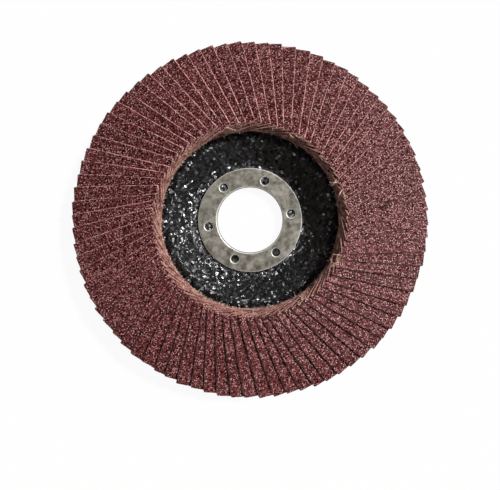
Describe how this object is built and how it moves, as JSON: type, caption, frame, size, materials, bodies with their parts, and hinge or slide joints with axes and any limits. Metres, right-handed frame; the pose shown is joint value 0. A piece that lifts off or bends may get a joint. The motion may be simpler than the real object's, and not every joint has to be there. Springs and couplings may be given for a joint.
{
  "type": "flap disc",
  "caption": "Grinding and blending disc for an angle grinder: overlapping coated abrasive flaps glued in a ring on a dished backing plate with a steel-ringed bore.",
  "frame": {"origin": "centre of the bore, in the plane of the rear face of the hub, on which the disc rests", "axes": "+Z along the bore axis, from the rear face to the flap side; +X and +Y are any two square directions, +X towards the worked edge of the first flap"},
  "size_m": [0.115, 0.115, 0.0167],
  "materials": {
    "abrasive_cloth": "coarse brown abrasive grain on resin-stiffened cloth",
    "backing_laminate": "black resin over woven glass, semi-gloss",
    "ring_steel": "satin, mottled",
    "bonding_resin": "cured dark resin"
  },
  "bodies": {
    "root": {"backing_plate": "backing_laminate", "front_ring": "ring_steel", "rear_ring": "ring_steel", "adhesive_bed": "bonding_resin", "flap_pair_01": "abrasive_cloth", "flap_pair_02": "abrasive_cloth", "flap_pair_03": "abrasive_cloth", "flap_pair_04": "abrasive_cloth", "flap_pair_05": "abrasive_cloth", "flap_pair_06": "abrasive_cloth", "flap_pair_07": "abrasive_cloth", "flap_pair_08": "abrasive_cloth", "flap_pair_09": "abrasive_cloth", "flap_pair_10": "abrasive_cloth", "flap_pair_11": "abrasive_cloth", "flap_pair_12": "abrasive_cloth", "flap_pair_13": "abrasive_cloth", "flap_pair_14": "abrasive_cloth", "flap_pair_15": "abrasive_cloth", "flap_pair_16": "abrasive_cloth", "flap_pair_17": "abrasive_cloth", "flap_pair_18": "abrasive_cloth", "flap_pair_19": "abrasive_cloth", "flap_pair_20": "abrasive_cloth", "flap_pair_21": "abrasive_cloth", "flap_pair_22": "abrasive_cloth", "flap_pair_23": "abrasive_cloth", "flap_pair_24": "abrasive_cloth", "flap_pair_25": "abrasive_cloth", "flap_pair_26": "abrasive_cloth", "flap_pair_27": "abrasive_cloth", "flap_pair_28": "abrasive_cloth", "flap_pair_29": "abrasive_cloth", "flap_pair_30": "abrasive_cloth", "flap_pair_31": "abrasive_cloth", "flap_pair_32": "abrasive_cloth", "flap_pair_33": "abrasive_cloth", "flap_pair_34": "abrasive_cloth", "flap_pair_35": "abrasive_cloth", "flap_pair_36": "abrasive_cloth", "flap_pair_37": "abrasive_cloth", "flap_pair_38": "abrasive_cloth", "flap_pair_39": "abrasive_cloth", "flap_pair_40": "abrasive_cloth"}
  },
  "joints": []
}
